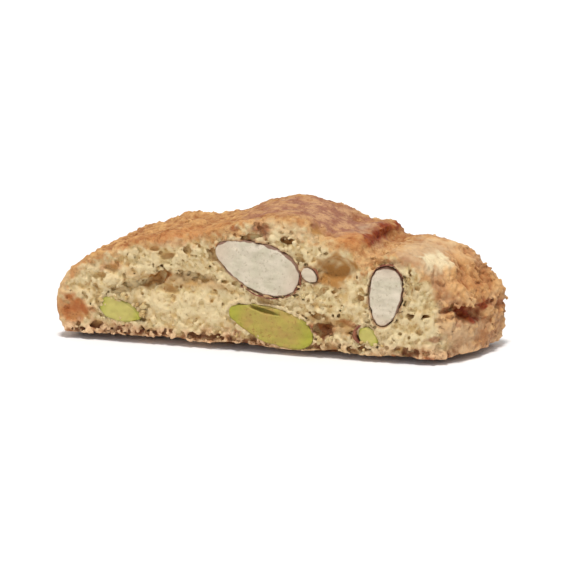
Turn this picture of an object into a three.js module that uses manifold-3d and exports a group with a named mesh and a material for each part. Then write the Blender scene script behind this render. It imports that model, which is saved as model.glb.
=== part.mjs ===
// A biscotto: one slice cut across a twice-baked loaf of almond and pistachio biscuit dough.
// It stands on the flat base of the loaf, as it left the knife, with both cut faces upright.
//
// Units are millimetres and +Z is up. +X runs along the slice, -Y points out of the front cut face,
// and the origin is on the flat base, midway between the ends and between the cut faces.
// The biscuit is one solid, and each nut that a cut face shows is a solid of its own, set in a socket.

import * as THREE from "three";
import { ImprovedNoise } from "three/addons/math/ImprovedNoise.js";
import { mergeVertices } from "three/addons/utils/BufferGeometryUtils.js";
import Module from "manifold-3d";

const wasm = await Module();
wasm.setup();

// Driving sizes of the slice
const FACE_LENGTH = 64.5; // the front cut face, from end to end
const FLARE = 3.8; // the back face's right end lies this far beyond the front face's
const DEPTH = 19; // between the two cut faces
const HEIGHT = 18; // of an average stretch of the outline, for the mesh's spacing
const CELL = 1.75; // the mesh's spacing over the biscuit

// The front face's outline, as [distance from its left end, height]. A toe and a heel close its ends.
const TOE_BASE = [2.6, 0];
const TOE_TOP = [3, 12];
const HEEL_TOP = [58.5, 17];
const HEEL_BASE = [63.6, 0];
const SHOULDER = [[6, 13.7], [10.5, 15.5], [14.5, 16.9], [18, 17.7], [21.5, 18.1], [25.5, 19]];
const HUMP = [[30, 21], [36, 22], [41, 21.3], [44.5, 19.4], [49.4, 18.9]];
const LOBE = [[51.2, 16.6], [55, 17.5]];
const CROWN = [TOE_TOP, ...SHOULDER, ...HUMP, ...LOBE, HEEL_TOP];
const TOE_BULGE = [[-1.3, 0.3], [-1.4, 8]]; // the points that pull the toe's curve out, from the base up
const HEEL_BULGE = [[65.6, 4.5], [65.2, 12.4]]; // the same for the heel
const HEEL_DROP = 1.4; // how much lower the crown's right end lies at the back face
const HEEL_ROUND = 3.4; // how far the front face's right edge is rounded back
const HEEL_WIDTH = 5.5; // of that rounding, along the slice

// Relief of the surface
const CRUST_LUMP = 8; // width of a lump in the crust
const CRUST_RELIEF = 0.75;
const HEEL_CRAG = 3.6; // width of a crag in the broken crust of the right end
const HEEL_RELIEF = 1.1;
const HEEL_REACH = 10; // how far the crags reach in from that end
const CRUMB_LUMP = 4.2; // width of a lump in the torn crumb of a cut face
const CRUMB_RELIEF = 0.55;
const CRUMB_SINK = 0.33; // how far the crumb lies below the knife's plane
const CRUST_FACING = 0.5; // a surface is all crust where its normal has less of +Y or -Y in it than this,
const CRUMB_FACING = 0.9; // and all crumb where it has more than this
const LEAST_HEIGHT = 0.25; // keeps the relief above the flat base

// Nuts
const SOCKET_GAP = 0.3; // round each nut
const NUT_PROUD = 0.15; // how far a nut's cut face stands out of the knife's plane
const NUT_TAPER = 0.22; // how much slimmer the tip of a kernel is than its round end
const NUT_SIDES = [18, 10]; // round a kernel, and from end to end
const HOLLOW_SIDES = [14, 9];

const noise = new ImprovedNoise();
const point = ([along, up]) => new THREE.Vector2(along, up);
const xOf = (along) => along - (FACE_LENGTH + FLARE) / 2;

// Smooth noise between about -1 and 1, whose largest lumps are size across
function lumps(p, size, octaves = 2) {
  let sum = 0;
  for (let i = 0; i < octaves; i++) {
    const s = 2 ** i / size;
    sum += noise.noise(p.x * s + 11 * i, p.y * s, p.z * s) / 2 ** i;
  }
  return sum;
}

// A position in the slice: along and up lie in the plane of the cut,
// and back runs from 0 at the front face to 1 at the back face
function placed(along, up, back) {
  const share = THREE.MathUtils.clamp(along / FACE_LENGTH, 0, 1);
  const corner = Math.max(0, 1 - (FACE_LENGTH - along) / HEEL_WIDTH);
  return new THREE.Vector3(
    xOf(along) + FLARE * back * (2 - back) * share ** 6,
    (back - 0.5) * DEPTH + HEEL_ROUND * corner ** 2 * (1 - back),
    up * (1 - (HEEL_DROP / HEEL_TOP[1]) * back * share ** 6),
  );
}

// The four edges of the outline, joined by a patch that fills the face between them
const OUTLINE = {
  base: new THREE.LineCurve(point(TOE_BASE), point(HEEL_BASE)),
  toe: new THREE.CubicBezierCurve(...[TOE_BASE, ...TOE_BULGE, TOE_TOP].map(point)),
  crown: new THREE.SplineCurve(CROWN.map(point)),
  heel: new THREE.CubicBezierCurve(...[HEEL_BASE, ...HEEL_BULGE, HEEL_TOP].map(point)),
};

function facePoint(a, c) {
  const mix = (from, to, share) => from.clone().lerp(to, share);
  const across = mix(OUTLINE.base.getPointAt(a), OUTLINE.crown.getPointAt(a), c);
  const upward = mix(OUTLINE.toe.getPointAt(c), OUTLINE.heel.getPointAt(c), a);
  const corners = mix(mix(point(TOE_BASE), point(HEEL_BASE), a), mix(point(TOE_TOP), point(HEEL_TOP), a), c);
  return across.add(upward).sub(corners);
}

// How far the surface stands out at p, where normal is the smooth shape's own
function relief(p, normal) {
  const cut = THREE.MathUtils.smoothstep(Math.abs(normal.y), CRUST_FACING, CRUMB_FACING);
  const heel = THREE.MathUtils.smoothstep(p.x, xOf(FACE_LENGTH - HEEL_REACH), xOf(FACE_LENGTH));
  const crust = CRUST_RELIEF * lumps(p, CRUST_LUMP) + heel * HEEL_RELIEF * lumps(p, HEEL_CRAG);
  const crumb = CRUMB_RELIEF * lumps(p, CRUMB_LUMP) - CRUMB_SINK;
  return THREE.MathUtils.lerp(crust, crumb, cut);
}

// The slice before anything is carved: a box of even cells, each corner moved to its place on the loaf
function sliceGeometry() {
  const cells = [FACE_LENGTH, DEPTH, HEIGHT].map((size) => Math.round(size / CELL));
  const box = new THREE.BoxGeometry(1, 1, 1, ...cells).translate(0.5, 0.5, 0.5);
  box.deleteAttribute("normal");
  box.deleteAttribute("uv");
  const slice = mergeVertices(box);
  const at = slice.getAttribute("position");
  const onBase = [];
  for (let i = 0; i < at.count; i++) {
    const face = facePoint(at.getX(i), at.getZ(i));
    onBase.push(at.getZ(i) === 0);
    at.setXYZ(i, ...placed(face.x, face.y, at.getY(i)));
  }
  slice.computeVertexNormals();
  const normals = slice.getAttribute("normal");
  for (let i = 0; i < at.count; i++) {
    const p = new THREE.Vector3().fromBufferAttribute(at, i);
    const normal = new THREE.Vector3().fromBufferAttribute(normals, i);
    p.addScaledVector(normal, relief(p, normal));
    p.z = onBase[i] ? 0 : Math.max(p.z, LEAST_HEIGHT);
    at.setXYZ(i, ...p);
  }
  return slice;
}

// A three.js geometry as a solid that can be joined and cut
function solid(geometry) {
  const bare = geometry.clone();
  bare.deleteAttribute("normal");
  bare.deleteAttribute("uv");
  const merged = mergeVertices(bare, 1e-3);
  return new wasm.Manifold(
    new wasm.Mesh({
      numProp: 3,
      vertProperties: new Float32Array(merged.attributes.position.array),
      triVerts: new Uint32Array(merged.index.array),
    }),
  );
}

function geometryOf(shape) {
  const mesh = shape.getMesh();
  const geometry = new THREE.BufferGeometry();
  geometry.setAttribute("position", new THREE.BufferAttribute(mesh.vertProperties, 3));
  geometry.setIndex(new THREE.BufferAttribute(mesh.triVerts, 1));
  return geometry;
}

// A rounded hollow to cut away: half sizes [along, into the face, up], leaning by tilt degrees in the face
function hollow({ along, up, back = 0, half, tilt = 0, yaw = 0 }) {
  const ball = new THREE.SphereGeometry(1, ...HOLLOW_SIDES).scale(...half);
  ball.rotateZ(THREE.MathUtils.degToRad(yaw));
  ball.rotateY(-THREE.MathUtils.degToRad(tilt));
  return solid(ball.translate(...placed(along, up, back)));
}

// A nut kernel: a ball drawn out to half sizes [long, deep, wide], slimmer towards its tip
function kernel({ along, up, back, half, tilt }, grow = 0) {
  const [long, deep, wide] = half.map((h) => h + grow);
  const ball = new THREE.SphereGeometry(1, ...NUT_SIDES).rotateZ(Math.PI / 2);
  const at = ball.getAttribute("position");
  for (let i = 0; i < at.count; i++) {
    const slim = 1 - NUT_TAPER * at.getX(i);
    at.setXYZ(i, at.getX(i) * long, at.getY(i) * deep * slim, at.getZ(i) * wide * slim);
  }
  ball.rotateY(-THREE.MathUtils.degToRad(tilt));
  return solid(ball.translate(...placed(along, up, back)));
}

// Everything between the planes of the two cuts, where the knife left the nuts
function betweenCuts() {
  const room = 4 * FACE_LENGTH;
  return solid(new THREE.BoxGeometry(room, DEPTH + 2 * NUT_PROUD, room));
}

// The nuts that show, each with where it lies, its half sizes and its tilt in the face
const NUTS = {
  almond_centre: { kind: "almond", along: 33.2, up: 13.9, back: 0, half: [7.3, 3.6, 3.9], tilt: 161 },
  almond_right: { kind: "almond", along: 54, up: 10.5, back: 0, half: [4.9, 4, 2.75], tilt: -98 },
  almond_chip: { kind: "almond", along: 41.8, up: 13, back: 0, half: [1.6, 1.6, 1.2], tilt: -35 },
  pistachio_low: { kind: "pistachio", along: 35.4, up: 4.7, back: 0, half: [7.4, 3, 2.95], tilt: 165 },
  pistachio_left: { kind: "pistachio", along: 10.5, up: 5.2, back: 0, half: [3.6, 2.6, 1.8], tilt: -16 },
  pistachio_chip: { kind: "pistachio", along: 51.4, up: 4, back: 0, half: [1.8, 1.6, 1.4], tilt: -40 },
  almond_back_round: { kind: "almond", along: 19, up: 9.4, back: 1, half: [5.6, 5, 5.1], tilt: 12 },
  almond_back_long: { kind: "almond", along: 44, up: 12.6, back: 1, half: [7, 3.4, 3.7], tilt: 24 },
  pistachio_back_left: { kind: "pistachio", along: 31.5, up: 6.6, back: 1, half: [6, 3, 2.8], tilt: 58 },
  pistachio_back_right: { kind: "pistachio", along: 55, up: 6.2, back: 1, half: [5.6, 2.8, 2.7], tilt: -20 },
};

// What is missing from the biscuit, beside the nuts' sockets
const HOLLOWS = [
  { along: 12.5, up: 9.3, half: [5, 2.4, 0.7], tilt: 15 }, // a split in the crumb, left of the middle
  { along: 16.2, up: 10.4, half: [2.3, 2.8, 1.1], tilt: 24 }, // where that split gapes
  { along: 22.5, up: 11.4, half: [6, 2.2, 0.8], tilt: -3 }, // the same split, further right
  { along: 46.3, up: 14.4, half: [3.2, 2.3, 2.1], tilt: 0 }, // the smooth print that a lost nut left
  { along: 44.6, up: 4.5, half: [2.2, 2.2, 1.2], tilt: -8 }, // a dark hole beside the low pistachio
  { along: 33.6, up: 19.6, half: [1.7, 1.6, 1.1], tilt: 0 }, // a bubble under the crown
  { along: 40, up: 19, back: 1, half: [1.9, 1.8, 1.2], tilt: 20 }, // a bubble in the back face
  { along: 11, up: 8.4, back: 1, half: [3, 1.8, 0.8], tilt: -15 }, // a split in the back face
  { along: 51, up: 17.6, back: 0.5, half: [2.2, 7, 1.3], tilt: -18 }, // under the lip of the hump
  { along: 65.4, up: 6.9, back: 0.5, half: [2.4, 5.5, 0.8], yaw: -14 }, // the crease round the heel
  { along: 64.4, up: 8.3, back: 0.12, half: [2.2, 3, 0.6], yaw: -38 }, // its end near the front face
  { along: 18, up: -2.6, half: [17, 7, 3.7] }, // the arch under the front edge, left of the middle
];

const COLOURS = { biscuit: 0xd0a566, almond: 0xe0d4bc, pistachio: 0xb4a548 };

function meshOf(name, shape, kind) {
  const material = new THREE.MeshStandardMaterial({ color: COLOURS[kind], roughness: 0.85, metalness: 0 });
  const mesh = new THREE.Mesh(geometryOf(shape), material);
  mesh.name = name;
  return mesh;
}

function biscotto() {
  const group = new THREE.Group();
  let biscuit = solid(sliceGeometry());
  for (const shape of HOLLOWS) biscuit = biscuit.subtract(hollow(shape));
  const cuts = betweenCuts();
  for (const [name, nut] of Object.entries(NUTS)) {
    biscuit = biscuit.subtract(kernel(nut, SOCKET_GAP));
    group.add(meshOf(name, kernel(nut).intersect(cuts), nut.kind));
  }
  const [largest] = biscuit.decompose().sort((one, other) => other.volume() - one.volume());
  group.add(meshOf("biscuit", largest, "biscuit"));
  return group;
}

export default biscotto();
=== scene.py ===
"""A biscotto: torn crumb, browned crust and cut nuts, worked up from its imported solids.

The slice's surface is the zero level of a distance field, negative inside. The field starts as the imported
solid's own shape, and crumb, holes, grit and crags are worked into it. The modelling is in millimetres,
with +X along the slice, -Y out of the front cut face and +Z up, and finished meshes are in metres.
"""

import itertools
import logging
import math
from collections.abc import Sequence
from dataclasses import dataclass
from enum import Enum

import bmesh
import bpy
import numpy as np
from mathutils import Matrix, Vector
from mathutils.bvhtree import BVHTree


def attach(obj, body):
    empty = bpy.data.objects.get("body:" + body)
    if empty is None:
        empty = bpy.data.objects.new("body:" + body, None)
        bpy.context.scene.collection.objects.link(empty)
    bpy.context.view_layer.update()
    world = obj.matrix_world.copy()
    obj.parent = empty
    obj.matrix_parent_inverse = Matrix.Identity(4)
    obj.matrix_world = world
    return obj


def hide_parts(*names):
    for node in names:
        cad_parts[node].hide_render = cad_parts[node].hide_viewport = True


logging.basicConfig(level=logging.INFO, format="%(message)s")
log = logging.getLogger("biscotto")

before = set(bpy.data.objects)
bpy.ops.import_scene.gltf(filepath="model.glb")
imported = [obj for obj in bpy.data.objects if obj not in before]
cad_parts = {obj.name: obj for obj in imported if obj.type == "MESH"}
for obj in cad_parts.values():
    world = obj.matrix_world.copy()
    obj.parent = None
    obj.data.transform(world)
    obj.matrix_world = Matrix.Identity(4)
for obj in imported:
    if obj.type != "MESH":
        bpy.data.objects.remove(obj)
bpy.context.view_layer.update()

MM = 0.001
TINY = 1e-12  # keeps a division from meeting 0
PHASES = (0, 6)  # radians that a random wave may be shifted by
Pair = tuple[float, float]
Triple = tuple[float, float, float]
Tone = tuple[float, float, float, float]


class Side(Enum):
    """Which cut face of the slice."""

    FRONT = -1
    BACK = 1


class Kernel(Enum):
    """The kinds of nut in the loaf."""

    ALMOND = "almond"
    PISTACHIO = "pistachio"


def smoothstep(low: float, high: float, value: np.ndarray) -> np.ndarray:
    """A smooth rise from 0 where value is low to 1 where it is high."""
    share = np.clip((value - low) / (high - low), 0, 1)
    return share * share * (3 - 2 * share)


def joined(one: np.ndarray, other: np.ndarray, blend: float) -> np.ndarray:
    """The union of two fields, with a fillet about blend wide where they meet."""
    share = np.clip(0.5 + (other - one) / (2 * blend), 0, 1)
    return other + (one - other) * share - blend * share * (1 - share)


def carved(one: np.ndarray, other: np.ndarray, blend: float) -> np.ndarray:
    """The first field less the second, with a rounding about blend wide where they meet."""
    return -joined(-one, other, blend)


class Grid:
    """Evenly spaced sample points that fill a box, and fields over them."""

    SPREAD = 0.33  # of smoothed random numbers, before they are scaled back to 1

    def __init__(self, low: np.ndarray, high: np.ndarray, step: float) -> None:
        """Lays out the points.

        Args:
            low: The lowest corner.
            high: The highest corner, or a little short of it.
            step: The distance between neighbouring points.
        """
        self.low = np.asarray(low, float)
        self.step = step
        self.shape = tuple(np.ceil((np.asarray(high, float) - self.low) / step).astype(int) + 1)

    def axis(self, i: int) -> np.ndarray:
        """The points' coordinates along one axis."""
        return self.low[i] + self.step * np.arange(self.shape[i])

    def points(self) -> tuple[np.ndarray, ...]:
        """X, Y and Z, shaped so that together they span the grid."""
        return np.ix_(*(self.axis(i).astype(np.float32) for i in range(3)))

    @staticmethod
    def _blended(lattice: np.ndarray, weights: list[np.ndarray]) -> np.ndarray:
        """Spreads a coarse lattice over finer points, axis by axis."""
        for weight in weights:
            lattice = np.tensordot(lattice, weight, axes=(0, 1))
        return lattice

    def noise(self, size: float, seed: int, stretch: Triple = (1, 1, 1)) -> np.ndarray:
        """Smooth noise with a spread of 1.

        Args:
            size: How wide its lumps are.
            seed: Which noise.
            stretch: How much longer the lumps are along each axis.

        Returns:
            The noise at each point of the grid.
        """
        weights = []
        for i in range(3):
            at = (self.axis(i) - self.low[i]) / (size * stretch[i] / 2)
            cell = np.floor(at).astype(int)
            f = at - cell
            # the weights of a cubic B-spline, times 6
            taps = ((1 - f) ** 3, 3 * f**3 - 6 * f**2 + 4, 3 * (f + f**2 - f**3) + 1, f**3)
            weight = np.zeros((len(at), cell[-1] + len(taps)), np.float32)
            for k, tap in enumerate(taps):
                weight[np.arange(len(at)), cell + k] = tap / 6
            weights.append(weight)
        random = np.random.default_rng(seed)
        lattice = random.standard_normal([w.shape[1] for w in weights], np.float32)
        return self._blended(lattice, weights) / self.SPREAD

    def distance(self, shell: "Shell", coarse: int) -> np.ndarray:
        """The distance to a closed mesh, negative inside, slightly smoothed.

        Args:
            shell: The mesh.
            coarse: It is measured at every so many points, and blended between them.

        Returns:
            The distance at each point of the grid.
        """
        rough = Grid(self.low, self.low + self.step * np.array(self.shape), self.step * coarse)
        field = shell.distances(rough)
        for i in range(3):
            padded = np.pad(field, [(1, 1) if j == i else (0, 0) for j in range(3)], mode="edge")
            ends = [np.take(padded, np.arange(rough.shape[i]) + k, axis=i) for k in range(3)]
            field = (ends[0] + 2 * ends[1] + ends[2]) / 4
        weights = []
        for i in range(3):
            at = np.arange(self.shape[i]) / coarse
            cell = np.minimum(np.floor(at).astype(int), rough.shape[i] - 2)
            weight = np.zeros((self.shape[i], rough.shape[i]), np.float32)
            weight[np.arange(self.shape[i]), cell] = 1 - (at - cell)
            weight[np.arange(self.shape[i]), cell + 1] = at - cell
            weights.append(weight)
        return self._blended(field.astype(np.float32), weights)

    def block(self, low: np.ndarray, high: np.ndarray) -> tuple[tuple[slice, ...], "Grid"]:
        """The part of the grid round a box.

        Args:
            low: The box's lowest corner.
            high: Its highest corner.

        Returns:
            The part as slices of the grid's fields, and as a grid of its own.
        """
        first = np.floor((np.asarray(low) - self.low) / self.step).astype(int)
        last = np.ceil((np.asarray(high) - self.low) / self.step).astype(int)
        first = np.clip(first, 0, np.array(self.shape) - 2)
        last = np.clip(last, first + 1, np.array(self.shape) - 1)
        part = Grid(self.low + first * self.step, self.low + last * self.step, self.step)
        part.shape = tuple(last - first + 1)
        return tuple(slice(a, b + 1) for a, b in zip(first, last)), part

    def sampled(self, field: np.ndarray, points: np.ndarray) -> np.ndarray:
        """A field's values at any points, blended between the grid's own.

        Args:
            field: The field.
            points: The points, one in each row.

        Returns:
            A value for each point.
        """
        at = (points - self.low) / self.step
        cell = np.clip(np.floor(at).astype(int), 0, np.array(self.shape) - 2)
        share = np.clip(at - cell, 0, 1)
        total = np.zeros(len(points))
        for corner in itertools.product((0, 1), repeat=3):
            weight = np.prod(np.where(corner, share, 1 - share), axis=1)
            total += weight * field[tuple((cell + corner).T)]
        return total

    def surface(self, field: np.ndarray) -> tuple[np.ndarray, np.ndarray]:
        """The surface where a field is zero.

        Args:
            field: A value at each point of the grid, negative inside.

        Returns:
            The surface's corners, and its four-sided faces, with their outer sides out.
        """
        steps = list(itertools.product((0, 1), repeat=3))
        span = [slice(0, n - 1) for n in self.shape]
        inside = field < 0
        count = sum(
            inside[tuple(slice(s.start + d, s.stop + d) for s, d in zip(span, step))].astype(np.int8)
            for step in steps
        )
        cells = np.argwhere((count > 0) & (count < len(steps)))
        index = np.full(count.shape, -1)
        index[tuple(cells.T)] = np.arange(len(cells))
        total = np.zeros((len(cells), 3))
        crossings = np.zeros(len(cells))
        for start, end in itertools.combinations(steps, 2):
            if sum(abs(a - b) for a, b in zip(start, end)) != 1:
                continue
            one = field[tuple((cells + start).T)]
            other = field[tuple((cells + end).T)]
            crossed = (one < 0) != (other < 0)
            share = np.where(crossed, one / np.where(crossed, one - other, 1), 0)
            place = np.array(start) + share[:, None] * (np.array(end) - np.array(start))
            total += np.where(crossed[:, None], place, 0)
            crossings += crossed
        corners = self.low + self.step * (cells + total / crossings[:, None])
        faces = []
        for axis in range(3):
            u, v = (axis + 1) % 3, (axis + 2) % 3
            near = [slice(0, n) for n in self.shape]
            far = list(near)
            near[axis], far[axis] = slice(0, -1), slice(1, None)
            edges = np.argwhere(inside[tuple(near)] != inside[tuple(far)])
            edges = edges[(edges[:, u] > 0) & (edges[:, v] > 0)]
            edges = edges[(edges[:, u] < self.shape[u] - 1) & (edges[:, v] < self.shape[v] - 1)]
            ring = []
            for du, dv in ((-1, -1), (0, -1), (0, 0), (-1, 0)):
                cell = edges.copy()
                cell[:, u] += du
                cell[:, v] += dv
                ring.append(index[tuple(cell.T)])
            quads = np.stack(ring, axis=1)
            leaving = inside[tuple(edges.T)]
            faces.append(np.where(leaving[:, None], quads, quads[:, ::-1]))
        return corners, np.concatenate(faces)


class Shell:
    """A closed mesh that distances are measured from."""

    FAR = 1000.0  # below the mesh, where the rays start
    PAST = 1e-4  # how far past a crossing a ray goes on
    NUDGE = (1.7e-3, 2.3e-3)  # keeps the rays off the mesh's own edges
    TRIES = 6  # how often a ray that slips between two faces is sent again, a little to the side

    def __init__(self, node: str) -> None:
        """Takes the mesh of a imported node, in millimetres.

        Args:
            node: The node's name.
        """
        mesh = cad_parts[node].data
        corners = np.zeros(len(mesh.vertices) * 3)
        mesh.vertices.foreach_get("co", corners)
        self.corners = corners.reshape(-1, 3) / MM
        mesh.calc_loop_triangles()
        triangles = np.zeros(len(mesh.loop_triangles) * 3, int)
        mesh.loop_triangles.foreach_get("vertices", triangles)
        self.triangles = triangles.reshape(-1, 3)
        self.tree = BVHTree.FromPolygons(self.corners.tolist(), self.triangles.tolist())
        self.low, self.high = self.corners.min(0), self.corners.max(0)

    def distances(self, grid: Grid) -> np.ndarray:
        """The distance from the mesh, negative inside.

        Args:
            grid: The points that it is measured at.

        Returns:
            The distance at each point of the grid.
        """
        xs, ys, zs = (grid.axis(i) for i in range(3))
        nearest = self.tree.find_nearest
        places = itertools.product(xs.tolist(), ys.tolist(), zs.tolist())
        field = np.array([nearest(place)[3] for place in places]).reshape(grid.shape)
        for (i, x), (j, y) in itertools.product(enumerate(xs), enumerate(ys)):
            for tries in range(1, self.TRIES):
                crossings = self._crossings(x + tries * self.NUDGE[0], y + tries * self.NUDGE[1])
                if len(crossings) % 2 == 0:
                    break
            within = np.searchsorted(crossings, zs) % 2 == 1
            field[i, j, within] *= -1
        return field

    def _crossings(self, x: float, y: float) -> list[float]:
        """Where a vertical line passes through the mesh.

        Args:
            x: The line's X.
            y: The line's Y.

        Returns:
            The heights of the crossings, from the lowest up.
        """
        up = Vector((0, 0, 1))
        start = Vector((x, y, -self.FAR))
        heights: list[float] = []
        while True:
            hit = self.tree.ray_cast(start, up)[0]
            if hit is None:
                return heights
            heights.append(hit.z)
            start = hit + up * self.PAST


def largest(corners: np.ndarray, faces: np.ndarray) -> tuple[np.ndarray, np.ndarray]:
    """Leaves loose scraps and sealed bubbles out of a mesh.

    Args:
        corners: The mesh's corners.
        faces: Its four-sided faces.

    Returns:
        The corners and faces of its largest connected part.
    """
    label = np.arange(len(corners))
    edges = np.concatenate([faces[:, [0, 1]], faces[:, [1, 2]], faces[:, [2, 3]]])
    while True:
        low = np.minimum(label[edges[:, 0]], label[edges[:, 1]])
        new = label.copy()
        np.minimum.at(new, edges[:, 0], low)
        np.minimum.at(new, edges[:, 1], low)
        new = new[new]
        if (new == label).all():
            break
        label = new
    names, sizes = np.unique(label, return_counts=True)
    kept = label == names[sizes.argmax()]
    number = np.cumsum(kept) - 1
    return corners[kept], number[faces[kept[faces[:, 0]]]]


def mesh_object(name: str, corners: np.ndarray, faces: np.ndarray) -> bpy.types.Object:
    """Adds a smooth-shaded object to the scene.

    Args:
        name: The object's name.
        corners: Its corners, in millimetres.
        faces: Its faces, which all have as many sides.

    Returns:
        The object.
    """
    mesh = bpy.data.meshes.new(name)
    sides = faces.shape[1]
    mesh.vertices.add(len(corners))
    mesh.vertices.foreach_set("co", (corners * MM).astype(np.float32).ravel())
    mesh.loops.add(faces.size)
    mesh.loops.foreach_set("vertex_index", faces.astype(np.int32).ravel())
    mesh.polygons.add(len(faces))
    mesh.polygons.foreach_set("loop_start", np.arange(0, faces.size, sides, dtype=np.int32))
    mesh.update(calc_edges=True)
    mesh.validate()
    mesh.shade_smooth()
    piece = bpy.data.objects.new(name, mesh)
    bpy.context.scene.collection.objects.link(piece)
    return piece


def thinned(piece: bpy.types.Object, triangles: int) -> None:
    """Reduces an object's mesh, keeping most of it where it is roughest.

    Args:
        piece: The object.
        triangles: The most triangles that it may have.
    """
    piece.data.calc_loop_triangles()
    count = len(piece.data.loop_triangles)
    log.info("%s: %d triangles before thinning", piece.name, count)
    if count <= triangles:
        return
    modifier = piece.modifiers.new("thin", "DECIMATE")
    modifier.ratio = triangles / count
    modifier.use_collapse_triangulate = True
    graph = bpy.context.evaluated_depsgraph_get()
    mesh = bpy.data.meshes.new_from_object(piece.evaluated_get(graph))
    piece.modifiers.clear()
    old = piece.data
    piece.data = mesh
    bpy.data.meshes.remove(old)
    mesh.name = piece.name
    mesh.shade_smooth()


def corners_of(piece: bpy.types.Object) -> np.ndarray:
    """Reads an object's corners.

    Args:
        piece: The object.

    Returns:
        The corners in millimetres, one in each row.
    """
    flat = np.zeros(len(piece.data.vertices) * 3, np.float32)
    piece.data.vertices.foreach_get("co", flat)
    return flat.reshape(-1, 3).astype(float) / MM


def paint(piece: bpy.types.Object, layer: str, values: np.ndarray) -> None:
    """Stores a value between 0 and 1 at each corner, which a material reads by the layer's name."""
    attribute = piece.data.attributes.new(layer, "FLOAT", "POINT")
    attribute.data.foreach_set("value", np.clip(values, 0, 1).astype(np.float32))


@dataclass(frozen=True)
class Loaf:
    """The loaf's own coordinates, as in the part: along the front face, up, and across the slice."""

    face_length: float = 64.5
    flare: float = 3.8  # how much further right the back face ends than the front
    power: int = 6  # how strongly the flare keeps to the thick end
    depth: float = 19.0
    rounds: int = 3  # of correction, when a flare is undone

    def shift(self, along: np.ndarray, y: np.ndarray) -> np.ndarray:
        """How far the flare carries points along +X.

        Args:
            along: How far along the slice they lie.
            y: Their Y.

        Returns:
            The shift of each point.
        """
        back = np.clip(np.asarray(y) / self.depth + 0.5, 0, 1)
        share = np.clip(np.asarray(along) / self.face_length, 0, 1)
        return self.flare * back * (2 - back) * share**self.power

    def x_of(self, along: np.ndarray, y: np.ndarray) -> np.ndarray:
        """The X of a point that lies so far along the slice."""
        return along - (self.face_length + self.flare) / 2 + self.shift(along, y)

    def along(self, x: np.ndarray, y: np.ndarray) -> np.ndarray:
        """How far along the slice points lie.

        Args:
            x: Their X.
            y: Their Y.

        Returns:
            The distance of each from the front face's left end.
        """
        straight = np.asarray(x) + (self.face_length + self.flare) / 2
        along = straight
        for _ in range(self.rounds):
            along = straight - self.shift(along, y)
        return along


@dataclass(frozen=True)
class Patch:
    """An egg-shaped part of the slice that differs from what is round it.

    Attributes:
        layer: The colour layer that it adds to, or how its form differs: close crumb, torn or sunk.
            A slit in a nut has the nut's node here.
        place: How far along, its Y, and how far up.
        reach: Its half sizes along, across and up.
        strength: How strong it is at its middle, and of what is sunk, how deep.
        tilt: How far its long axis leans up, in degrees.
        fade: How many half sizes out it has gone, and from how many in it is whole.
    """

    layer: str
    place: Triple
    reach: Triple
    strength: float = 1.0
    tilt: float = 0.0
    fade: Pair = (1.25, 0.55)

    def share(
        self, along: np.ndarray, y: np.ndarray, z: np.ndarray, uneven: np.ndarray | float = 0
    ) -> np.ndarray:
        """How much of it there is.

        Args:
            along: How far along the slice each point lies.
            y: The points' Y.
            z: Their heights.
            uneven: What makes its edge uneven, in half sizes.

        Returns:
            Its strength at each point.
        """
        lean = math.radians(self.tilt)
        out, rise = along - self.place[0], z - self.place[2]
        u = (out * math.cos(lean) + rise * math.sin(lean)) / self.reach[0]
        v = (y - self.place[1]) / self.reach[1]
        w = (rise * math.cos(lean) - out * math.sin(lean)) / self.reach[2]
        return self.strength * smoothstep(*self.fade, np.sqrt(u * u + v * v + w * w) + uneven)


@dataclass(frozen=True)
class Voids:
    """One size of hole in the crumb: a hole is wherever a noise rises over its limit.

    Attributes:
        size: The width of the noise's lumps.
        limit: How far the noise has to rise. The higher it is, the fewer and smaller the holes.
        seed: Which noise.
        stretch: How much longer the holes are along each axis.
    """

    size: float
    limit: float
    seed: int
    stretch: Triple = (1, 1, 1)


@dataclass(frozen=True)
class Lumps:
    """Relief of one size.

    Attributes:
        height: How high it stands where its noise is 1.
        size: The width of its lumps.
        seed: Which noise.
        stretch: How much longer the lumps are along each axis.
    """

    height: float
    size: float
    seed: int
    stretch: Triple = (1, 1, 1)

    MEAN = 0.8  # of such a noise, where both its rises and its dips count as rises

    def noise(self, grid: Grid, number: int = 0) -> np.ndarray:
        """Its noise over a grid, with a spread of 1, and another one for each number."""
        return grid.noise(self.size, self.seed + number, self.stretch)

    def waves(self, grid: Grid) -> np.ndarray:
        """The relief as soft rises and dips."""
        return self.height * self.noise(grid)

    def pillows(self, grid: Grid, share: np.ndarray | float = 1.0) -> np.ndarray:
        """The relief as rounded lumps with sharp valleys between them, or a share of it."""
        return share * self.height * (np.abs(self.noise(grid)) - self.MEAN)


@dataclass(frozen=True)
class CrumbRelief:
    """How far the crumb of a cut face stands out: sandy lumps of several sizes."""

    pillows: tuple[Lumps, ...] = (Lumps(0.17, 2.2, 11, (1.4, 1, 1)), Lumps(0.17, 1.1, 12))
    bits: Lumps = Lumps(0.22, 0.8, 13)
    bit_limit: float = 0.6  # how far their noise rises before they show
    sand: Lumps = Lumps(0.07, 0.5, 14)

    def over(self, grid: Grid) -> np.ndarray:
        """The relief over a grid.

        Args:
            grid: The grid.

        Returns:
            The height at each point.
        """
        pillows = sum(lumps.pillows(grid) for lumps in self.pillows)
        bits = self.bits.height * np.maximum(self.bits.noise(grid) - self.bit_limit, 0)
        return pillows + bits + self.sand.waves(grid)


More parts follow.
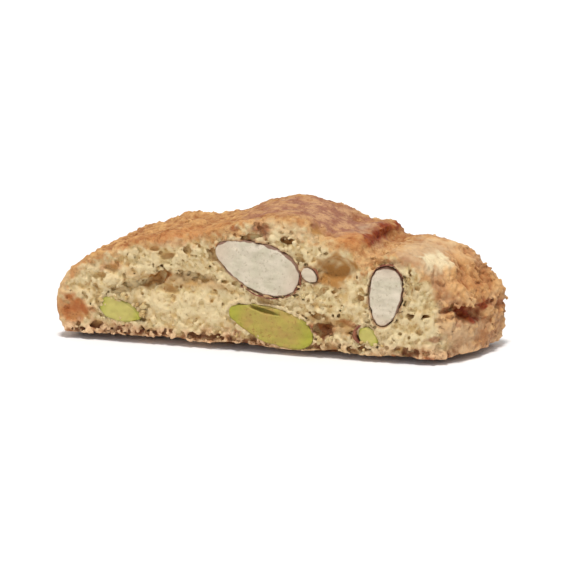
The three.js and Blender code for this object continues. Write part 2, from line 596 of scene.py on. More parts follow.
@dataclass(frozen=True)
class CrustRelief:
    """How far the crust stands out: least on the hump and toe, gritty on the slope, craggy at the heel."""

    heel_start: Pair = (56, 62)  # how far along the heel's crags begin, and from where they are full
    heel_top: Pair = (17, 14.5)  # the same for their heights
    slope_end: Pair = (34, 16)  # and for the slope's grit, from the right
    slope_start: Pair = (1.5, 7)  # and from the left
    calm: float = 0.34  # how rough the hump and the toe are
    rougher: float = 0.66  # and how much rougher the heel is
    slope_share: float = 0.75  # of that on the slope
    waves: Lumps = Lumps(0.1, 3.6, 21)
    pillows: Lumps = Lumps(0.15, 1.7, 23)
    grit: Lumps = Lumps(0.23, 0.85, 24)
    grit_limit: float = 0.3  # how far its noise rises before it shows
    grit_most: float = 1.3
    sand: Lumps = Lumps(0.06, 0.55, 25)
    sand_least: float = 0.02
    fissures: Lumps = Lumps(0.22, 5.0, 22, (1, 1.4, 1))
    fissure_least: float = 0.06
    fissure_edge: Pair = (0.16, 0.02)  # how near 0 the noise is where one begins, and where it is deepest

    def over(self, grid: Grid, along: np.ndarray, z: np.ndarray) -> np.ndarray:
        """The relief over a grid.

        Args:
            grid: The grid.
            along: How far along the slice each point lies.
            z: The points' heights.

        Returns:
            The height at each point.
        """
        heel = smoothstep(*self.heel_start, along) * smoothstep(*self.heel_top, z)
        slope = smoothstep(*self.slope_end, along) * smoothstep(*self.slope_start, along)
        rough = self.calm + self.rougher * np.maximum(heel, self.slope_share * slope)
        fissure = smoothstep(*self.fissure_edge, np.abs(self.fissures.noise(grid)))
        return (
            self.waves.waves(grid) * (1 + heel)
            + self.pillows.pillows(grid, rough)
            + rough * self.grit.height * np.clip(self.grit.noise(grid) - self.grit_limit, 0, self.grit_most)
            + (self.sand_least + self.sand.height * rough) * self.sand.noise(grid)
            - (self.fissure_least + self.fissures.height * heel) * fissure
        )


@dataclass(frozen=True)
class Holes:
    """The holes in the crumb: many fine ones, some larger, and a lace along the base."""

    voids: tuple[Voids, ...] = (
        Voids(2.8, 2.0, 41, (1.7, 1, 0.8)),
        Voids(1.6, 1.75, 42, (1.3, 1, 0.9)),
        Voids(0.95, 1.5, 43),
        Voids(0.62, 1.75, 45),
    )
    steepness: float = 3.0  # how far a noise rises over the width of one of its lumps
    rounding: float = 0.1  # of a hole's edge, in lumps
    in_crust: float = 3.0  # how much higher a noise has to rise for a hole in the crust
    in_close: float = 1.3  # and in close crumb
    in_torn: float = 0.8  # and in torn crumb
    in_rim: float = 1.2  # and just under the crust
    rim: Pair = (1.4, 0.5)  # how deep under it that ends, and from where it is full
    depth: float = 0.1  # the least depth of a hole
    lace_depth: float = 0.4  # how much deeper it is in the lace
    size_depth: float = 0.55  # and how much deeper for its size
    lace_top: Pair = (3.2, 1.8)  # the height at which the lace ends, and from which it is full
    lace_size: float = 0.9  # of the holes that are most crowded in it
    crowding: float = 1.4  # how much less a noise has to rise there
    pits: Lumps = Lumps(0.5, 1.5, 44)  # in the base itself
    pit_limit: float = 1.3  # how far their noise has to rise for one
    pit_top: float = 0.8  # how high they reach
    pit_rounding: float = 0.15

    def shut(self, cut: np.ndarray, close: np.ndarray, torn: np.ndarray, under: np.ndarray) -> np.ndarray:
        """How much higher than usual a noise has to rise for a hole.

        Args:
            cut: How far each point is in crumb and not in crust.
            close: How close the crumb is there.
            torn: How torn it is.
            under: How deep under the crust the point lies.

        Returns:
            The extra height at each point.
        """
        rim = smoothstep(*self.rim, under)
        return self.in_crust * (1 - cut) + self.in_close * close + self.in_rim * rim + self.in_torn * torn

    def dug(
        self, grid: Grid, field: np.ndarray, shut: np.ndarray, depth: np.ndarray, z: np.ndarray
    ) -> np.ndarray:
        """Opens the holes.

        Args:
            grid: The field's grid.
            field: The field without them.
            shut: How much higher than usual a noise has to rise for a hole.
            depth: How far in from the crumb's surface each point lies.
            z: The points' heights.

        Returns:
            The field with them.
        """
        lace = smoothstep(*self.lace_top, z)
        floor = depth - self.depth - self.lace_depth * lace
        for kind in self.voids:
            noise = grid.noise(kind.size, kind.seed, kind.stretch)
            fine = min(1, self.lace_size / kind.size)
            hole = (kind.limit + shut - self.crowding * fine * lace - noise) * kind.size / self.steepness
            hole = np.maximum(hole, floor - self.size_depth * kind.size)
            field = carved(field, hole, self.rounding * kind.size)
        pits = np.maximum((self.pit_limit - self.pits.noise(grid)) * self.pits.height, z - self.pit_top)
        return carved(field, pits, self.pit_rounding)


@dataclass(frozen=True)
class Edge:
    """Where a colour begins and where it is full, along an edge that wanders.

    Attributes:
        start: The value at which it begins.
        full: The value at which it is full.
        broad: How far the broad noise shifts it.
        fine: How far the fine noise does.
        speck: How far the finest does.
    """

    start: float
    full: float
    broad: float = 0.0
    fine: float = 0.0
    speck: float = 0.0

    def over(self, value: np.ndarray, noises: Sequence[np.ndarray] = ()) -> np.ndarray:
        """How far the colour has set in.

        Args:
            value: What the edge is measured by, at each point.
            noises: The broad, the fine and the finest noise there, or none for a straight edge.

        Returns:
            A share between 0 and 1 for each point.
        """
        shift = sum(weight * noise for weight, noise in zip((self.broad, self.fine, self.speck), noises))
        return smoothstep(self.start, self.full, value + shift)


@dataclass(frozen=True)
class Browning:
    """Where the oven coloured the slice, and where painted shade and painted highlights go, in millimetres
    along it, up it or into it.
    """

    crown_depth: float = 2.6  # how deep the browning reaches in from the crown
    side_depth: float = 1.2  # and from the slopes
    base_depth: float = 1.6  # and from the base
    crown_left: Edge = Edge(20, 30)
    crown_right: Edge = Edge(58, 50)
    low: Edge = Edge(3.5, 1.2)
    rind: Edge = Edge(1.1, 0.2, broad=0.2, speck=0.3)  # as a share of how deep the browning reaches
    skin: Edge = Edge(2.6, 1.4)
    face: Edge = Edge(1.5, 0.9)
    arris: Edge = Edge(-0.05, 0.25, fine=0.15)  # under the crust, where a cut face begins
    pit_shade: float = 0.2  # how deep a hole is where the painted shade on its walls begins
    peak_highlight: Edge = Edge(0.22, -0.1, speck=0.06)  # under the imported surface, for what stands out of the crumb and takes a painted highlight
    proud: Edge = Edge(0.12, -0.3, speck=0.05)  # and out of the crust, where it takes a painted highlight; what lies low takes painted shade
    stain_and_gap_shade: Edge = Edge(0.4, 0.1, fine=0.12)  # from a nut: painted shade in the gap between nut and crumb, with a brown stain
    soft_share: float = 0.75  # how much less of that there is round a pistachio
    hump_left: Edge = Edge(25, 36, broad=2.5, fine=1.0)
    hump_right: Edge = Edge(53, 47, broad=2.5, fine=1.0)
    rosy: Edge = Edge(0.8, 4.2, broad=0.7, fine=0.5)  # in from the cut faces
    heel: Edge = Edge(52, 57)
    lace: Edge = Edge(3.7, 1.9, broad=0.35, fine=0.45)
    ragged: Pair = (0.1, 0.16)  # how far the broad and the fine noise shift a patch's edge, in half sizes

    def reach(self, along: np.ndarray, z: np.ndarray) -> np.ndarray:
        """How deep the browning reaches in.

        Args:
            along: How far along the slice each point lies.
            z: The points' heights.

        Returns:
            The depth at each point.
        """
        crown = self.crown_left.over(along) * self.crown_right.over(along)
        low = self.low.over(z)
        upper = self.side_depth + (self.crown_depth - self.side_depth) * crown
        return upper * (1 - low) + self.base_depth * low


@dataclass
class Biscuit:
    """The slice of biscuit itself, with its open crumb and its craggy crust.

    It is one surface, parted into three pieces that overlap by a hair, so that the two cut faces
    can be as fine as crumb is.
    """

    loaf: Loaf
    nuts: list["Nut"]
    crumb: CrumbRelief = CrumbRelief()
    crust: CrustRelief = CrustRelief()
    holes: Holes = Holes()
    browning: Browning = Browning()
    step: float = 0.18
    coarse: int = 3  # the solid is measured at every so many points
    margin: float = 1.3
    noises: tuple[tuple[float, int], ...] = ((3.0, 51), (1.1, 52), (0.7, 53))  # broad to fine: width and seed
    triangles: int = 190000  # the most in each piece
    overlap: float = 0.4
    face_depth: float = 1.9  # how far in from the cut face its own piece reaches
    fill: float = 0.5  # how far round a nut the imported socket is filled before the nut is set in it
    sink: float = 0.22  # how far the crumb lies below the knife's plane
    knife: Lumps = Lumps(0.09, 5, 3)  # how uneven it lies there
    ragged: Lumps = Lumps(0.16, 1.3, 33)  # how uneven the edges of its forms are
    arris: Pair = (-0.8, 1.0)  # how much nearer to the cut face than to the crust crumb begins, and is full
    gap: float = 0.03  # between a nut and the crumb
    gap_wander: Lumps = Lumps(0.1, 2.4, 31)
    gap_range: Pair = (-0.12, 0.3)
    cling: float = 0.12  # how much narrower the gap is round a pistachio
    lift: float = 0.12  # how far the base lies off the table
    lift_wander: Lumps = Lumps(0.2, 7, 32)
    lift_most: float = 0.5
    lift_edge: float = 0.95  # how much further off its edges lie
    lift_face: Pair = (5.5, 1.0)  # how far in from a cut face that begins, and is full
    lift_heel: Pair = (56, 63.5)  # and how far along
    nut_reach: float = 1.6  # how far round a nut its distance is measured
    nut_coarse: int = 2  # at every so many points
    nut_far: float = 9.0  # the distance that counts anywhere else
    nut_level: float = 0.3  # how deep under the cut face a nut's outline is read
    heel_skin: Edge = Edge(-0.6, 0.6, broad=0.4, fine=0.3)
    heel_edge: tuple[Pair, ...] = (
        # where the crust of the thick end begins: the height, and how far along
        (0, 60.6), (4.5, 61.6), (9, 62.7), (13.7, 60.4), (16.5, 58.2), (30, 57.6),
    )
    forms: tuple[Patch, ...] = (
        Patch("close", (22, -9.5, 6.8), (13, 4, 3.6), 0.28, -3),
        Patch("close", (46.3, -9, 14.4), (3.8, 3.5, 2.6), 0.9),
        Patch("close", (2.8, -9.5, 4.4), (2.6, 3, 2.2), 0.8),
        Patch("close", (45, -9.5, 18), (4, 3, 1.6), 0.6),
        Patch("torn", (53, -4, 16), (3.8, 7, 1.8), 1.0, -6),
        Patch("sunk", (16.1, -9.5, 10.3), (2.1, 1.8, 0.75), 1.5, 32),
        Patch("sunk", (7.4, -9.5, 10.6), (1.8, 1.2, 0.4), 0.7, 8),
        Patch("sunk", (11.6, -9.5, 8.7), (2.2, 1.2, 0.4), 0.8, 14),
        Patch("sunk", (42.9, -8, 20.4), (1.2, 1.8, 0.7), 0.5),
        Patch("sunk", (43.9, -8.5, 4.4), (1.7, 2.4, 0.9), 1.3),
        Patch("sunk", (47.4, -9.5, 5.6), (1.6, 1.4, 0.5), 0.8, -14),
        Patch("sunk", (64.6, -1.8, 7.2), (3.2, 3.6, 1.0), 1.1),
        Patch("sunk", (65, 2.6, 8), (2.8, 2.6, 0.55), 0.8),
        Patch("sunk", (65.5, 7, 7.1), (2.6, 2.2, 0.5), 0.5),
        Patch("sunk", (62.7, -6.9, 8.7), (1.3, 1.8, 0.45), 0.7, 24),
        Patch("sunk", (62.5, -3.2, 8.1), (1.5, 1.6, 0.4), 0.6, 10),
    )
    patches: tuple[Patch, ...] = (
        # burnt crust: the lip, the heel's creases and a spot low on the heel
        Patch("burnt_and_hole_shade", (50.2, 2, 18.4), (1.9, 8.5, 1.3), 1.0),
        Patch("burnt_and_hole_shade", (50.2, -5, 18.7), (2.0, 3.6, 1.1), 1.0, -8),
        Patch("burnt_and_hole_shade", (64.6, -1.8, 7.2), (3.2, 3.6, 1.4), 1.0),
        Patch("burnt_and_hole_shade", (65, 2.6, 8), (2.8, 2.8, 0.7), 0.85),
        Patch("burnt_and_hole_shade", (65.5, 7, 7.1), (2.6, 2, 0.6), 0.45),
        Patch("burnt_and_hole_shade", (61.4, -8.5, 4.1), (1.1, 1.5, 0.5), 0.6),
        # painted shade in the fissure's hole
        Patch("burnt_and_hole_shade", (17.6, -9.5, 10.8), (1.3, 2, 0.7), 0.35, 32),
        # darker in the left end's recess
        Patch("burnt_and_hole_shade", (2.3, -9, 4.9), (2.6, 4.5, 1.8), 0.42),
        # painted shade in the holes right of the low pistachio
        Patch("burnt_and_hole_shade", (43.8, -8, 4.3), (2.1, 3, 1.3), 0.7),
        Patch("burnt_and_hole_shade", (47.6, -9.5, 5.9), (1.8, 2, 0.45), 0.5, -14),
        # burnt in the heel's creases
        Patch("burnt_and_hole_shade", (62.7, -6.9, 8.7), (1.3, 1.8, 0.5), 0.6, 24),
        Patch("burnt_and_hole_shade", (62.5, -3.2, 8.1), (1.5, 1.6, 0.45), 0.6, 10),
        # painted shade in holes: bubbles under the crown, and small ones by the base
        Patch("burnt_and_hole_shade", (33.6, -9.5, 19.6), (1.8, 2, 1.2), 0.75),
        Patch("burnt_and_hole_shade", (29.6, -9.5, 19.7), (0.8, 1.5, 0.6), 0.7),
        Patch("burnt_and_hole_shade", (60.9, -9.5, 0.9), (0.8, 1.5, 0.7), 0.8),
        Patch("burnt_and_hole_shade", (55.3, -9.5, 1.2), (0.4, 1.2, 0.4), 0.8),
        # a toasted dent in the crust's edge
        Patch("toast", (42.9, -8, 20.4), (1.3, 2.2, 1.0), 1.0),
        # browns the cavity in the front face
        Patch("toast", (45.6, -9, 13.8), (3.3, 3.6, 2.6), 1.0),
        # painted shade in the fissure's hole and in the band under its overhang
        Patch("toast", (16.1, -9.5, 10.4), (2.4, 4, 1.1), 0.9, 30),
        Patch("toast", (21, -9.5, 10.6), (8, 2.4, 1.1), 0.5, -3),
        # painted shade round the hollows right of the low pistachio
        Patch("toast", (45.6, -9, 5.2), (3.6, 3, 1.4), 0.6, -14),
        # orange toasted crust and crumb
        Patch("orange", (62.8, 2, 11.6), (4.4, 6, 3), 0.45),
        Patch("orange", (2.2, -9, 4.4), (3.2, 4.5, 3.0), 1.0, 12),
        Patch("orange", (48, -7.5, 18.8), (2.4, 4, 1.8), 0.9),
        Patch("orange", (9.2, -9.5, 12.2), (2.4, 2, 0.9), 0.6, 8),
        Patch("orange", (20, -8, 17.8), (8, 4, 1.7), 0.6, 10),
        Patch("heel", (62.8, 2, 11.6), (5, 8, 3.4), -0.9),
        Patch("stain_and_gap_shade", (56.4, -9.5, 16.2), (2.2, 1.8, 0.9), 0.9),
        Patch("base", (49, -9.5, 1.6), (8, 3, 3), -0.6),
        Patch("base", (65, 0, 1.6), (5, 12, 3), -0.5),
        # a paler base rim
        Patch("pale_and_painted_light", (51.5, -9.5, 2.4), (6, 2, 1.4), 0.55),
        # painted highlights on the tops of the lobe and the hump
        Patch("pale_and_painted_light", (60, -5.5, 15.8), (2.4, 4.4, 1.5), 0.85),
        Patch("pale_and_painted_light", (57.5, -3, 17.2), (4.6, 9, 1.6), 0.3),
        Patch("pale_and_painted_light", (48, -4, 20.2), (3, 6, 1.4), 0.3, -12),
        Patch("pale_and_painted_light", (50.3, 1, 19.5), (1.2, 9, 0.7), 0.5),
        # pale crumb under the crust
        Patch("pale_and_painted_light", (37, -9.5, 19.6), (6, 2, 1.6), 0.45),
        # painted light on the cavity's upper half, against the shade that falls there
        Patch("pale_and_painted_light", (43.6, -9.5, 15.6), (1.6, 2, 2), 0.3),
        # a pale left end
        Patch("pale_and_painted_light", (0.5, -4, 8), (2.2, 7, 5), 0.3),
        # painted light on the heel's low part, against the shade that falls there
        Patch("pale_and_painted_light", (63.5, -7, 4.5), (3.6, 6, 2.6), 0.25),
    )

    def __post_init__(self) -> None:
        """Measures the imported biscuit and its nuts."""
        shell = Shell("biscuit")
        self.grid = Grid(shell.low - self.margin, shell.high + self.margin, self.step)
        self.smooth = self.grid.distance(shell, self.coarse)
        middle = int(round(-self.grid.low[1] / self.step))
        self.map = -self.smooth[:, middle, :]
        near = {kind: self._nut_distances(kind) for kind in Kernel}
        self.nut_field = np.minimum(near[Kernel.ALMOND], near[Kernel.PISTACHIO])
        self.soft = near[Kernel.PISTACHIO] < near[Kernel.ALMOND]  # where the crumb clings to the nut
        self.shifts = [self.grid.noise(size, seed) for size, seed in self.noises]

    def build(self) -> list[bpy.types.Object]:
        """Models the slice.

        Returns:
            The finished pieces, without their material.
        """
        corners, faces = largest(*self.grid.surface(self._dough()))
        inward = self.loaf.depth / 2 - np.abs(corners[faces].mean(axis=1)[:, 1])
        front = corners[faces[:, 0]][:, 1] < 0
        parts = {
            "biscotto_front_crumb": front & (inward < self.face_depth),
            "biscotto_back_crumb": ~front & (inward < self.face_depth),
            "biscotto_crust": inward > self.face_depth - self.overlap,
        }
        return [self._piece(name, corners, faces[kept]) for name, kept in parts.items()]

    def _piece(self, name: str, corners: np.ndarray, faces: np.ndarray) -> bpy.types.Object:
        """One part of the surface as an object, painted."""
        used, index = np.unique(faces, return_inverse=True)
        piece = mesh_object(name, corners[used], index.reshape(faces.shape))
        thinned(piece, self.triangles)
        self._paint(piece)
        return piece

    def _under(self, along: np.ndarray, z: np.ndarray) -> np.ndarray:
        """How deep under the crust points lie, read from the slice's middle plane."""
        x = self.loaf.x_of(along, np.zeros(1))
        last = 1.001  # from the map's end, so that each point has a neighbour past it
        u = np.clip((x - self.grid.low[0]) / self.step, 0, self.map.shape[0] - last)
        w = np.clip((z - self.grid.low[2]) / self.step + 0 * u, 0, self.map.shape[1] - last)
        i, k = u.astype(int), w.astype(int)
        u, w = u - i, w - k
        low = self.map[i, k] * (1 - u) + self.map[i + 1, k] * u
        high = self.map[i, k + 1] * (1 - u) + self.map[i + 1, k + 1] * u
        return low * (1 - w) + high * w

    def _nut_distances(self, kind: Kernel) -> np.ndarray:
        """The distance to the nearest nut of a kind, wherever one is near.

        In front of its cut face, a nut counts as if it ran straight on, so that nothing covers it.
        """
        field = np.full(self.grid.shape, self.nut_far, np.float32)
        for nut in (nut for nut in self.nuts if nut.kind is kind):
            where, part = self.grid.block(nut.shell.low - self.nut_reach, nut.shell.high + self.nut_reach)
            near = part.distance(nut.shell, self.nut_coarse)
            outward = nut.side.value * part.axis(1)
            edge = self.loaf.depth / 2 - self.nut_level
            level = int(np.abs(outward - edge).argmin())
            near[:, outward > edge, :] = near[:, level : level + 1, :]
            field[where] = np.minimum(field[where], near)
        return field

    def _beyond(self, along: np.ndarray, z: np.ndarray, noises: Sequence[np.ndarray] = ()) -> np.ndarray:
        """Where the crust of the thick end has begun, from 0 to 1."""
        heights, edges = np.array(self.heel_edge).T
        return self.heel_skin.over(along - np.interp(z, heights, edges), noises)

    def _dough(self) -> np.ndarray:
        """The finished field."""
        grid, holes = self.grid, self.holes
        x, y, z = grid.points()
        inward = self.loaf.depth / 2 - np.abs(y)
        plane = self.sink + self.knife.waves(grid) - inward
        field = np.minimum(self.smooth, np.maximum(self.nut_field - self.fill, plane))
        along = self.loaf.along(x, y).astype(np.float32)
        under = self._under(along, z).astype(np.float32)
        uneven = self.ragged.waves(grid)
        close, torn, sunk = (self._form(layer, along, y, z, uneven) for layer in ("close", "torn", "sunk"))
        cut = smoothstep(*self.arris, under - inward) * (1 - self._beyond(along, z))
        cut = np.maximum(cut, torn)
        field = field - cut * self.crumb.over(grid) * (1 - close)
        field = field - (1 - cut) * self.crust.over(grid, along, z) + sunk
        field = holes.dug(grid, field, holes.shut(cut, close, torn, under), inward - self.sink, z)
        gap = np.clip(self.gap + self.gap_wander.waves(grid), *self.gap_range) - self.cling * self.soft
        field = np.maximum(field, gap - self.nut_field)
        lift = np.clip(self.lift + self.lift_wander.waves(grid), 0, self.lift_most)
        edge = np.maximum(smoothstep(*self.lift_face, inward), smoothstep(*self.lift_heel, along))
        return np.maximum(field, lift + self.lift_edge * edge - z)

    def _form(
        self, layer: str, along: np.ndarray, y: np.ndarray, z: np.ndarray, uneven: np.ndarray
    ) -> np.ndarray:
        """How much there is at each point of all the forms of one layer together."""
        return sum(form.share(along, y, z, uneven) for form in self.forms if form.layer == layer)

    def _paint(self, piece: bpy.types.Object) -> None:
        """Stores where a piece is browned, hollow, burnt, stained and pale, and where painted shade and
        painted highlights go.
        """
        grid, oven = self.grid, self.browning
        at = corners_of(piece)
        x, y, z = at.T
        along = self.loaf.along(x, y)
        noises = [grid.sampled(field, at) for field in self.shifts]
        under = self._under(along, z)
        inward = self.loaf.depth / 2 - np.abs(y)
        cut = oven.face.over(inward) * oven.arris.over(under, noises) * (1 - self._beyond(along, z, noises))
        hollow = -grid.sampled(self.smooth, at)
        hump = oven.hump_left.over(along, noises) * oven.hump_right.over(along, noises)
        stain_and_gap_shade = oven.stain_and_gap_shade.over(grid.sampled(self.nut_field, at), noises)
        uneven = sum(weight * noise for weight, noise in zip(oven.ragged, noises))
        layers = {
            "rind": oven.rind.over(under / oven.reach(along, z), noises),
            "skin": (1 - cut) * oven.skin.over(under),
            # painted shade on the walls of holes, darker the deeper they lie
            "pit_shade": hollow - oven.pit_shade,
            # painted highlight on what stands out of the crumb
            "peak_highlight": oven.peak_highlight.over(hollow, noises),
            # painted highlight on what stands out of the crust, painted shade in what lies low
            "proud": oven.proud.over(hollow, noises),
            # painted shade in the gap round each nut, with a brown stain; less round pistachios
            "stain_and_gap_shade": stain_and_gap_shade * (1 - oven.soft_share * grid.sampled(self.soft, at)),
            "rosy": hump * oven.rosy.over(inward, noises),
            "heel": oven.heel.over(along),
            "base": oven.lace.over(z, noises),
            "torn": self._form("torn", along, y, z, uneven),
        }
        for patch in self.patches:
            share = patch.share(along, y, z, uneven)
            layers[patch.layer] = layers.get(patch.layer, 0) + share
        for layer, values in layers.items():
            paint(piece, layer, values)


@dataclass
class Nut:
    """A kernel that the knife cut through, flush with the face that it lies in."""

    node: str
    step: float = 0.15
    coarse: int = 2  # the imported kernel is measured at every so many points
    margin: float = 0.7
    lumps: Lumps = Lumps(0.05, 3.4, 60)
    wrinkles: Lumps = Lumps(0.06, 1.1, 80)
    scratches: Lumps = Lumps(0.12, 0.45, 100, (9, 2, 1))
    sink: float = 0.13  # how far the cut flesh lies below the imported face
    hard_relief: float = 0.16  # how uneven an almond's cut flesh is
    soft_relief: float = 0.22  # and a pistachio's
    relief_shares: Pair = (0.5, 0.25)  # of lumps and wrinkles in that
    rounding: float = 0.12  # of the edge of the cut
    ragged: float = 0.12  # how far wrinkles shift the edge of a slit, in half sizes
    near_face: float = 0.05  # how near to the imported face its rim's corners lie
    flush: float = 0.01  # and its own triangles
    squarely: float = 0.98  # how squarely those face out
    rim_edge: Edge = Edge(0.55, 0.0)  # in from the kernel's skin
    core: Edge = Edge(0.3, 2.6)
    tip: Edge = Edge(0.45, 0.95)  # from its middle, as a share of half its length
    small: float = 4.5  # a piece whose cut face is shorter than twice this has paler flesh
    slits: tuple[Patch, ...] = (
        # where a kernel's two halves part, by its node
        Patch("pistachio_low", (34.2, -9.6, 7.0), (2.7, 1.0, 0.3), 1.1, -13),
        Patch("almond_back_round", (19.6, 9.6, 9.6), (4.6, 1.6, 0.35), 1.3, 40),
    )

    def __post_init__(self) -> None:
        """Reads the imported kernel."""
        self.shell = Shell(self.node)
        self.kind = Kernel(self.node.split("_")[0])
        self.side = Side.FRONT if self.shell.low[1] < 0 else Side.BACK
        self.face = max(self.side.value * self.shell.low[1], self.side.value * self.shell.high[1])
        flat = self.side.value * self.shell.corners[:, 1] > self.face - self.near_face
        rim = self.shell.corners[flat][:, [0, 2]]
        self.middle = (rim.min(0) + rim.max(0)) / 2
        values, vectors = np.linalg.eigh(np.cov((rim - self.middle).T))
        self.long = vectors[:, values.argmax()]
        self.half = np.abs((rim - self.middle) @ self.long).max()
        self._rim_angle = np.degrees(np.arctan2(*(rim - self.middle).T[::-1]))
        self._rim_radius = np.linalg.norm(rim - self.middle, axis=1)

    def outline(self, angle: np.ndarray) -> np.ndarray:
        """How far its cut edge lies from its middle, in the directions of the angles in degrees."""
        order = self._rim_angle.argsort()
        return np.interp(angle, self._rim_angle[order], self._rim_radius[order], period=360)

    def build(self, number: int, loaf: Loaf) -> bpy.types.Object:
        """Models the kernel.

        Args:
            number: Which nut it is, so that no two are alike.
            loaf: The loaf that it lies in.

        Returns:
            The finished piece, without its material.
        """
        grid = Grid(self.shell.low - self.margin, self.shell.high + self.margin, self.step)
        x, y, z = grid.points()
        lumps, wrinkles = self.lumps.noise(grid, number), self.wrinkles.noise(grid, number)
        scratches = self.scratches.height * self.scratches.noise(grid, number)
        field = grid.distance(self.shell, self.coarse) + self.lumps.height * lumps
        field = field + self.wrinkles.height * wrinkles
        depth = self.hard_relief if self.kind is Kernel.ALMOND else self.soft_relief
        relief = depth * (self.relief_shares[0] * lumps + self.relief_shares[1] * wrinkles + scratches)
        field = carved(field, -(self.side.value * y - self.face + self.sink + relief), self.rounding)
        slits = [slit for slit in self.slits if slit.layer == self.node]
        for slit in slits:
            field = field + slit.share(loaf.along(x, y), y, z, self.ragged * wrinkles)
        corners, faces = largest(*grid.surface(field))
        piece = mesh_object(f"biscotto_{self.node}", corners, faces)
        at = corners_of(piece)
        rim = self._rim(at)
        run = (at[:, [0, 2]] - self.middle) @ self.long / self.half
        along = loaf.along(at[:, 0], at[:, 1])
        slit_shares = (slit.share(along, at[:, 1], at[:, 2]) for slit in slits)
        paint(piece, "rim", self.rim_edge.over(rim))
        paint(piece, "core", self.core.over(rim))
        paint(piece, "tip", self.tip.over(np.abs(run)))
        paint(piece, "small", np.full(len(at), float(self.half < self.small)))
        paint(piece, "slit", sum(slit_shares, np.zeros(len(at))))
        return piece

    def _rim(self, at: np.ndarray) -> np.ndarray:
        """How far in from the kernel's own outer surface each point lies."""
        corners, triangles = self.shell.corners, self.shell.triangles
        edge = np.cross(
            corners[triangles[:, 1]] - corners[triangles[:, 0]],
            corners[triangles[:, 2]] - corners[triangles[:, 0]],
        )
        facing = np.abs(edge[:, 1]) / (np.linalg.norm(edge, axis=1) + TINY)
        depth = self.side.value * corners[triangles].mean(axis=1)[:, 1]
        flat = (facing > self.squarely) & (depth > self.face - self.flush)
        tree = BVHTree.FromPolygons(corners.tolist(), triangles[~flat].tolist())
        return np.array([tree.find_nearest(place)[3] for place in at.tolist()])


@dataclass(frozen=True)
class Flake:
    """A strip of papery skin that has come away from a nut and lines its socket.

    Attributes:
        nut: The nut's node.
        start: Where it begins, in degrees round the nut's middle.
        end: Where it ends.
        away: How far it stands off the nut.
        proud: How far it stands out of the cut face.
        thickness: How thick it is.
    """

    nut: str
    start: float
    end: float
    away: float
    proud: float = 0.1
    thickness: float = 0.14


@dataclass(frozen=True)
class SkinFlakes:
    """The nut skin that shows in the cut faces."""

    flakes: tuple[Flake, ...] = (
        Flake("almond_centre", -135, -36, 0.2, 0.02),
        Flake("almond_centre", -44, 2, 0.12, 0.08),
        Flake("almond_right", 48, 128, 0.22, 0.0),
        Flake("almond_chip", -20, 60, 0.12, 0.0),
        Flake("pistachio_chip", 125, 225, 0.25, 0.12, 0.5),
        Flake("almond_back_round", 20, 140, 0.3, 0.1),
        Flake("almond_back_long", 190, 300, 0.3, 0.12),
        Flake("pistachio_back_left", 100, 190, 0.28, 0.1),
    )
    depth: float = 1.3
    stations: int = 40
    seed: int = 71
    waves: int = 4
    turns: Pair = (5, 28)  # radians of a wave over the length of a flake
    crinkle: float = 0.05  # how far the waves carry a flake off the nut
    ripple: float = 0.07  # how far they carry its edge out
    lag: int = 5  # stations between the two
    tuck: float = 0.25  # how far its ends lie in from the cut face

    def build(self, nuts: dict[str, Nut]) -> bpy.types.Object:
        """Models all the flakes as one piece.

        Args:
            nuts: The nuts, by node.

        Returns:
            The finished piece, without its material.
        """
        random = np.random.default_rng(self.seed)
        corners, faces = [], []
        for flake in self.flakes:
            nut = nuts[flake.nut]
            angle = np.linspace(flake.start, flake.end, self.stations)
            share = np.linspace(0, 1, self.stations)
            taper = np.sin(np.pi * share) ** 0.5
            wave = sum(
                random.normal(0, 1) * np.sin(share * random.uniform(*self.turns) + random.uniform(*PHASES))
                for _ in range(self.waves)
            )
            radius = nut.outline(angle) + flake.away + self.crinkle * wave
            edge = nut.face + taper * flake.proud - self.tuck * (1 - taper)
            edge = edge + self.ripple * np.roll(wave, self.lag)
            outer = radius + flake.thickness * taper
            ring = [(radius, edge), (outer, edge), (outer, edge - self.depth), (radius, edge - self.depth)]
            heading = np.radians(angle)
            first = sum(len(part) for part in corners)
            for far, out in ring:
                x, z = nut.middle[0] + far * np.cos(heading), nut.middle[1] + far * np.sin(heading)
                corners.append(np.stack([x, nut.side.value * out, z], axis=1))
            step = np.arange(self.stations - 1)
            for k in range(len(ring)):
                near, far = first + k * self.stations, first + (k + 1) % len(ring) * self.stations
                faces.append(np.stack([near + step, near + step + 1, far + step + 1, far + step], axis=1))
            for end in (0, self.stations - 1):
                faces.append(np.array([[first + k * self.stations + end for k in range(len(ring))]]))
        return mesh_object("biscotto_nut_skin", np.concatenate(corners), np.concatenate(faces))


@dataclass(frozen=True)
class Cluster:
    """A few loose crumbs that cling together.

    Attributes:
        place: How far along, and how far up.
        side: The face that they cling to.
        spread: How far apart they lie, along and up.
        count: How many there are.
        size: The radius of the larger ones.
    """

    place: Pair
    side: Side
    spread: Pair
    count: int
    size: float = 0.45


